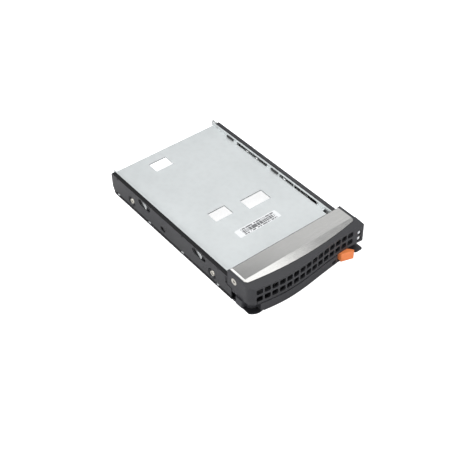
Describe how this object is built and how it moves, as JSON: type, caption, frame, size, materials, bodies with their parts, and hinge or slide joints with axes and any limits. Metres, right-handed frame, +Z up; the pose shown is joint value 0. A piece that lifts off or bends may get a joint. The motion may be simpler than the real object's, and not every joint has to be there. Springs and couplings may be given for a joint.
{
  "type": "hard drive tray",
  "caption": "Hot-swap tray for a drive bay: folded steel rails, galvanised adapter plate for a smaller drive, vented bezel with a swinging handle and a sliding release tab.",
  "frame": {"origin": "on the plane that the rails and the bezel rest on, below the middle of the tray's bounding box", "axes": "+X to the right seen from the front, -Y towards the front and +Y into the bay, +Z up"},
  "size_m": [0.108, 0.1821, 0.0254],
  "materials": {
    "painted_steel": "satin black powder coat",
    "galvanised_steel": "galvanised, lightly brushed",
    "bright_steel": "zinc plated",
    "brushed_cover": "brushed across the bezel",
    "black_plastic": "fine-textured moulding",
    "orange_plastic": "moulded",
    "clear_plastic": "clear acrylic",
    "spring_steel": "drawn wire",
    "paper": "blank paper label"
  },
  "bodies": {
    "tray": {"left_rail": "painted_steel", "right_rail": "painted_steel", "adapter_deck": "galvanised_steel", "left_side_plate": "galvanised_steel", "right_side_plate": "galvanised_steel", "clinch_nuts": "bright_steel", "rail_screws": "bright_steel", "bezel": "black_plastic", "bezel_cover": "brushed_cover", "bezel_screws": "bright_steel", "vent_screen": "painted_steel", "light_pipe_upper": "clear_plastic", "light_pipe_lower": "clear_plastic", "light_pipe_clips": "black_plastic", "deck_label": "paper", "handle_pin": "spring_steel", "handle_spring": "spring_steel", "release_spring": "spring_steel", "tab_guide_pin": "spring_steel"},
    "handle": {"handle": "black_plastic"},
    "release_tab": {"release_tab": "orange_plastic"}
  },
  "joints": [
    {"name": "handle_swing", "type": "hinge", "parent": "tray", "child": "handle", "pos_m": [-0.0455, -0.07945, 0.0048], "axis": [0, 0, -1], "range_deg": [0, 50]},
    {"name": "release_slide", "type": "slide", "parent": "tray", "child": "release_tab", "axis": [1, 0, 0], "range_m": [0, 0.003], "stiffness_N_per_m": 250, "springref_m": -0.002, "deforming": ["release_spring"]}
  ]
}
